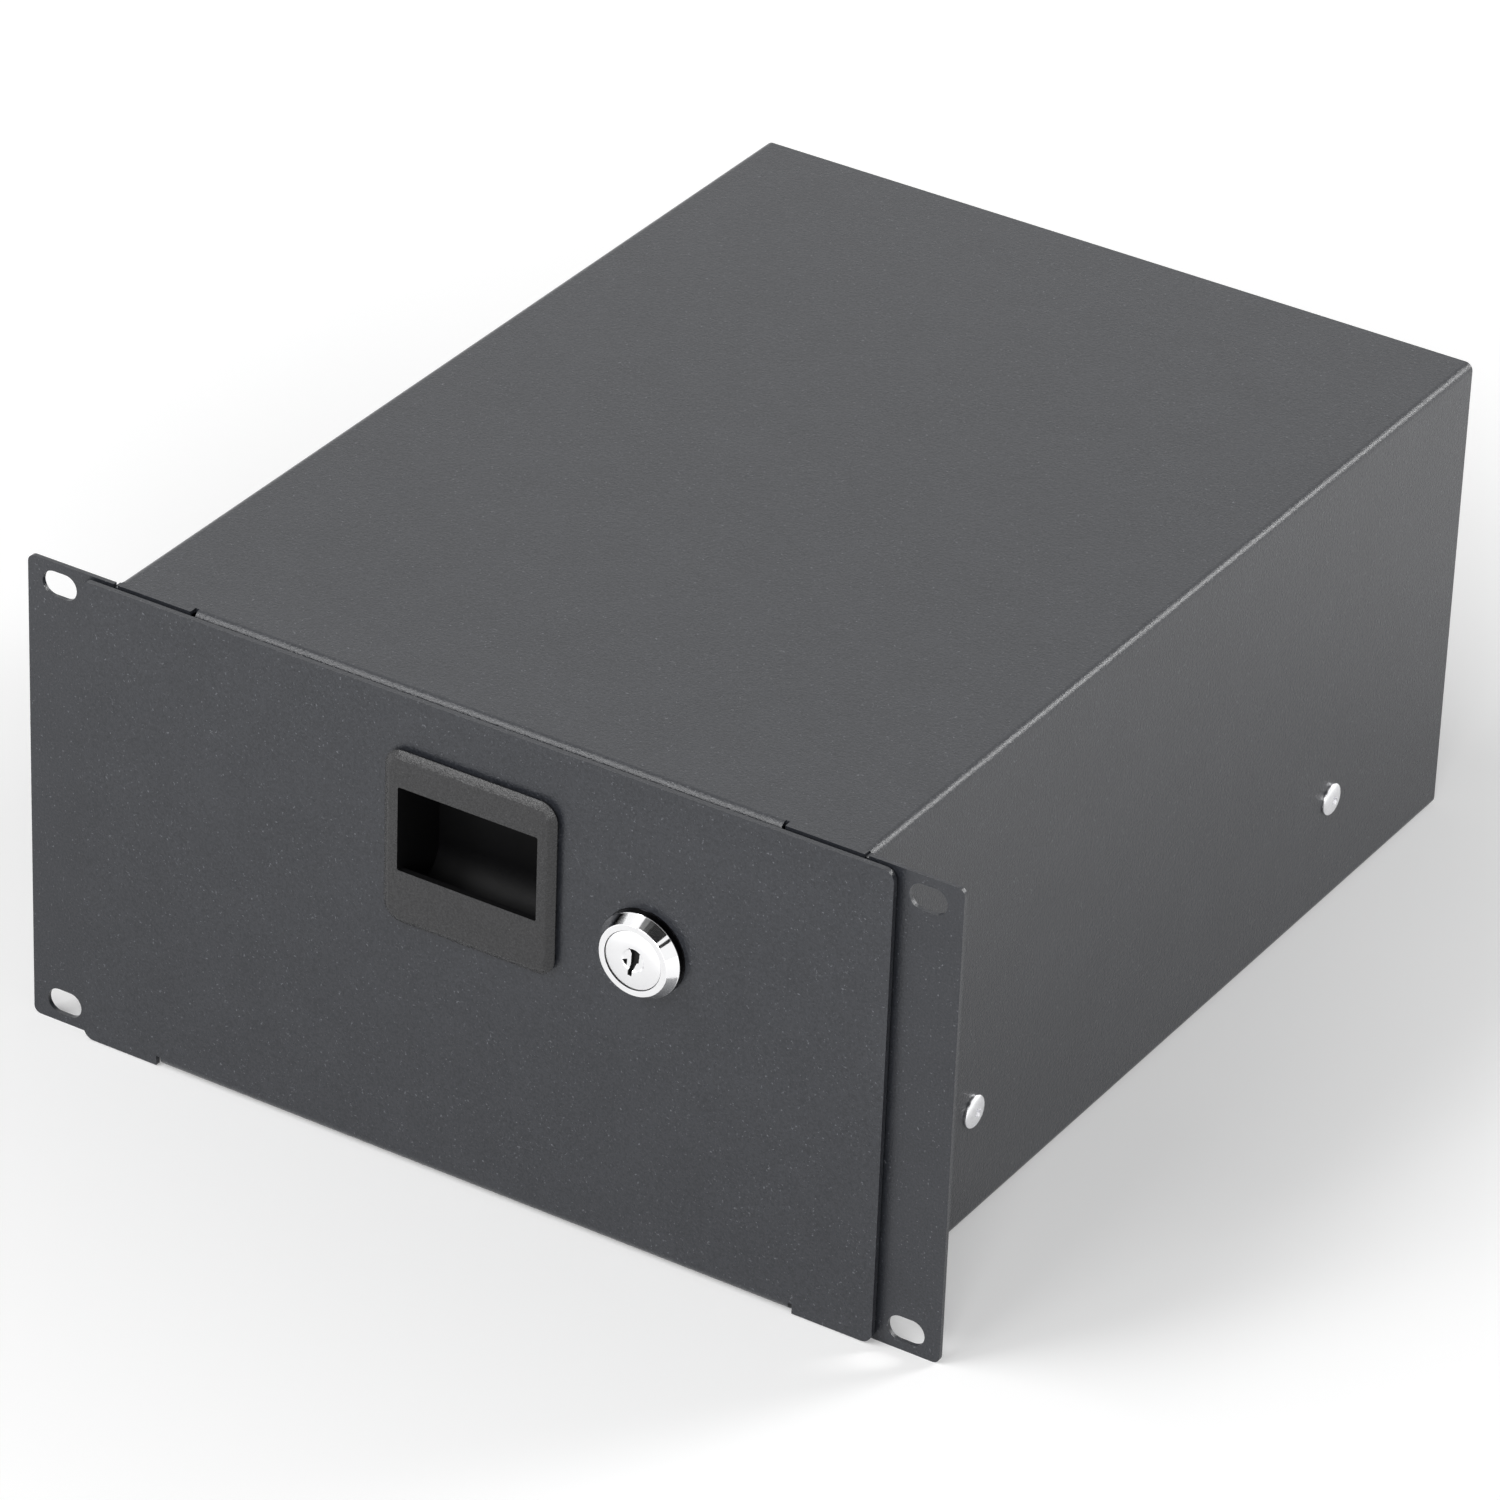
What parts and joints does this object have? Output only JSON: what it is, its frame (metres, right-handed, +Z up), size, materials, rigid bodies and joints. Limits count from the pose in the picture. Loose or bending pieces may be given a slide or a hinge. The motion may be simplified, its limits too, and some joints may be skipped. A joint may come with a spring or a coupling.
{
  "type": "sliding rack drawer",
  "caption": "Lockable sliding drawer in a folded sheet-metal case with rack ears, on telescopic ball-bearing slides, with a flush finger pull and a cam lock.",
  "frame": {"origin": "centre of the four rack slots, on the back face of the rack ears", "axes": "+X to the right seen from the front, -Y the way the drawer opens, +Z up"},
  "size_m": [0.2666, 0.3031, 0.1324],
  "materials": {
    "case_paint": "fine-texture dark charcoal powder coat",
    "drawer_paint": "fine-texture dark charcoal powder coat",
    "slide_zinc": "bright zinc plate",
    "retainer_zinc": "thin zinc-plated strip",
    "ball_steel": "polished bearing steel",
    "bumper_rubber": "black moulded rubber",
    "screw_zinc": "bright zinc plate",
    "pull_plastic": "black moulded plastic, fine texture",
    "lock_chrome": "polished chrome",
    "plug_chrome": "satin chrome",
    "lock_steel": "zinc-plated steel"
  },
  "bodies": {
    "case": {"case_shell": "case_paint", "rear_panel": "case_paint", "case_slide_screws": "screw_zinc", "slide_outer_left": "slide_zinc", "slide_outer_right": "slide_zinc", "slide_bumper_left": "bumper_rubber", "slide_bumper_right": "bumper_rubber"},
    "drawer": {"drawer_tray": "drawer_paint", "tray_slide_screws": "screw_zinc", "slide_inner_left": "slide_zinc", "slide_inner_right": "slide_zinc", "finger_pull": "pull_plastic", "lock_housing": "lock_chrome", "lock_nut": "lock_steel"},
    "lock_barrel": {"lock_plug": "plug_chrome", "lock_cam": "lock_steel", "lock_cam_washer": "lock_steel", "lock_cam_nut": "lock_steel"},
    "middle_member_left": {"slide_middle_left": "slide_zinc"},
    "outer_balls_cage_left": {"outer_retainer_left": "retainer_zinc", "outer_balls_left": "ball_steel"},
    "inner_balls_cage_left": {"inner_retainer_left": "retainer_zinc", "inner_balls_left": "ball_steel"},
    "middle_member_right": {"slide_middle_right": "slide_zinc"},
    "outer_balls_cage_right": {"outer_retainer_right": "retainer_zinc", "outer_balls_right": "ball_steel"},
    "inner_balls_cage_right": {"inner_retainer_right": "retainer_zinc", "inner_balls_right": "ball_steel"}
  },
  "joints": [
    {"name": "drawer_slide", "type": "slide", "parent": "case", "child": "drawer", "axis": [0, -1, 0], "range_m": [0, 0.24]},
    {"name": "lock_turn", "type": "hinge", "parent": "drawer", "child": "lock_barrel", "pos_m": [0.049, 0, 0.02005], "axis": [0, -1, 0], "range_deg": [0, 90]},
    {"name": "middle_member_left_slide", "type": "slide", "parent": "case", "child": "middle_member_left", "axis": [0, -1, 0], "range_m": [0, 0.12]},
    {"name": "outer_balls_cage_left_slide", "type": "slide", "parent": "case", "child": "outer_balls_cage_left", "axis": [0, -1, 0], "range_m": [0, 0.06]},
    {"name": "inner_balls_cage_left_slide", "type": "slide", "parent": "case", "child": "inner_balls_cage_left", "axis": [0, -1, 0], "range_m": [0, 0.18]},
    {"name": "middle_member_right_slide", "type": "slide", "parent": "case", "child": "middle_member_right", "axis": [0, -1, 0], "range_m": [0, 0.12]},
    {"name": "outer_balls_cage_right_slide", "type": "slide", "parent": "case", "child": "outer_balls_cage_right", "axis": [0, -1, 0], "range_m": [0, 0.06]},
    {"name": "inner_balls_cage_right_slide", "type": "slide", "parent": "case", "child": "inner_balls_cage_right", "axis": [0, -1, 0], "range_m": [0, 0.18]}
  ],
  "couplings": [
    {"joint": "middle_member_left_slide", "follows": "drawer_slide", "ratio": 0.5},
    {"joint": "outer_balls_cage_left_slide", "follows": "drawer_slide", "ratio": 0.25},
    {"joint": "inner_balls_cage_left_slide", "follows": "drawer_slide", "ratio": 0.75},
    {"joint": "middle_member_right_slide", "follows": "drawer_slide", "ratio": 0.5},
    {"joint": "outer_balls_cage_right_slide", "follows": "drawer_slide", "ratio": 0.25},
    {"joint": "inner_balls_cage_right_slide", "follows": "drawer_slide", "ratio": 0.75}
  ]
}
